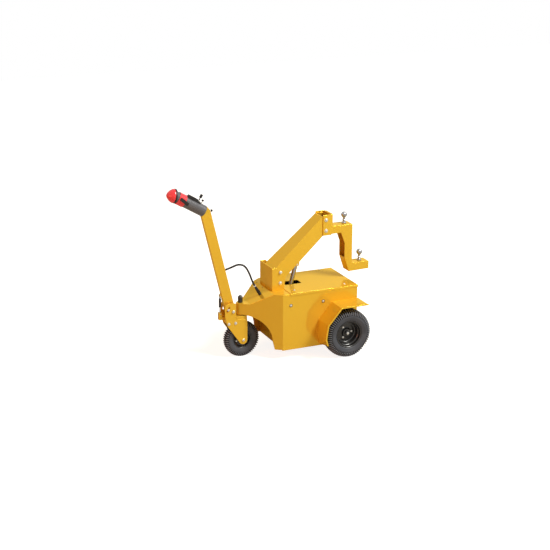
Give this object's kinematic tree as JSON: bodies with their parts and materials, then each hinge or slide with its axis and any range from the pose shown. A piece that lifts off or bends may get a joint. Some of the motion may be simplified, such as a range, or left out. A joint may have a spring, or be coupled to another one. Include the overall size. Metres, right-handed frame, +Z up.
{
  "type": "electric tow tractor",
  "caption": "Walk-behind battery tug: wedge-nosed steel body on pneumatic wheels, steered by a tilting tiller, with a lifting boom that carries tow balls",
  "frame": {"origin": "on the floor, on the centre plane, midway between the red button's tip and the tow shelf's end", "axes": "+X forward to the tiller, +Y to the left, +Z up"},
  "size_m": [1.7322, 0.88, 1.4499],
  "materials": {
    "yellow_paint": "gloss",
    "black_steel": "satin",
    "zinc_steel": "satin",
    "bright_rod": "polished",
    "tyre_rubber": "matt",
    "battery_case": "matt",
    "black_plastic": "satin",
    "red_plastic": "gloss",
    "switch_metal": "satin",
    "cable_sheath": "matt"
  },
  "bodies": {
    "chassis": {"body_shell": "yellow_paint", "steering_cap": "black_steel", "battery_lid": "yellow_paint", "boom_bracket": "yellow_paint", "boom_pin": "zinc_steel", "fender_left": "yellow_paint", "fender_right": "yellow_paint", "drive_axle": "black_steel", "battery_block": "battery_case", "lift_mount": "black_steel", "cable_gland": "black_plastic"},
    "fork": {"fork_frame": "yellow_paint", "kingpin": "black_steel", "front_axle": "zinc_steel", "tiller_pin": "zinc_steel", "strut_foot_pin": "zinc_steel", "control_cable": "cable_sheath"},
    "front_wheel": {"front_tyre": "tyre_rubber", "front_rim": "black_steel"},
    "tiller": {"tiller_bar": "yellow_paint", "slot_pin": "zinc_steel", "tiller_housing": "black_plastic", "red_collar": "red_plastic", "head_ring": "black_plastic", "red_button": "red_plastic", "switch_box": "black_plastic", "key_switch": "switch_metal", "ignition_key": "black_plastic", "strut_head_pin": "zinc_steel", "throttle_left": "black_plastic", "throttle_right": "black_plastic"},
    "strut_upper": {"strut_barrel": "black_steel"},
    "strut_lower": {"strut_rod": "bright_rod"},
    "rear_wheel_left": {"rear_tyre_left": "tyre_rubber", "rear_rim_left": "black_steel"},
    "rear_wheel_right": {"rear_tyre_right": "tyre_rubber", "rear_rim_right": "black_steel"},
    "boom": {"boom_tube": "yellow_paint", "clamp_channel": "yellow_paint", "hitch_bracket": "yellow_paint", "tow_ball_upper": "bright_rod", "tow_ball_lower": "bright_rod", "lift_eye_pin": "zinc_steel"},
    "lift_lower": {"lift_barrel": "black_steel"},
    "lift_upper": {"lift_rod": "bright_rod"}
  },
  "joints": [
    {"name": "steering", "type": "hinge", "parent": "chassis", "child": "fork", "pos_m": [0.262, 0, 0.4], "axis": [0, 0, 1], "range_deg": [-60, 60], "deforming": ["control_cable"]},
    {"name": "front_wheel_roll", "type": "hinge", "parent": "fork", "child": "front_wheel", "pos_m": [0.258, 0, 0.15], "axis": [0, 1, 0], "continuous": true},
    {"name": "tiller_tilt", "type": "hinge", "parent": "fork", "child": "tiller", "pos_m": [0.343, 0, 0.404], "axis": [0, 1, 0], "range_deg": [-20, 20], "deforming": ["control_cable"]},
    {"name": "strut_swing", "type": "hinge", "parent": "tiller", "child": "strut_upper", "pos_m": [0.437, 0, 0.535], "axis": [0, 1, 0], "range_deg": [-2.83, 2.83]},
    {"name": "strut_slide", "type": "slide", "parent": "strut_upper", "child": "strut_lower", "axis": [0.0066, 0, -1], "range_m": [-0.0337, 0.0337]},
    {"name": "rear_wheel_left_roll", "type": "hinge", "parent": "chassis", "child": "rear_wheel_left", "pos_m": [-0.523, 0.34, 0.2], "axis": [0, 1, 0], "continuous": true},
    {"name": "rear_wheel_right_roll", "type": "hinge", "parent": "chassis", "child": "rear_wheel_right", "pos_m": [-0.523, -0.34, 0.2], "axis": [0, 1, 0], "continuous": true},
    {"name": "boom_lift", "type": "hinge", "parent": "chassis", "child": "boom", "pos_m": [-0.035, 0, 0.708], "axis": [0, 1, 0], "range_deg": [-2, 12]},
    {"name": "lift_swing", "type": "hinge", "parent": "chassis", "child": "lift_lower", "pos_m": [-0.101, 0, 0.235], "axis": [0, 1, 0], "range_deg": [-0.59, 2.02]},
    {"name": "lift_slide", "type": "slide", "parent": "lift_lower", "child": "lift_upper", "axis": [-0.2486, 0, 0.9686], "range_m": [-0.0071, 0.0379]}
  ],
  "couplings": [
    {"joint": "strut_swing", "follows": "tiller_tilt", "ratio": -0.11657},
    {"joint": "strut_slide", "follows": "tiller_tilt", "m_per_rad": -0.09358},
    {"joint": "lift_swing", "follows": "boom_lift", "ratio": 0.14306},
    {"joint": "lift_slide", "follows": "boom_lift", "m_per_rad": 0.17611}
  ]
}
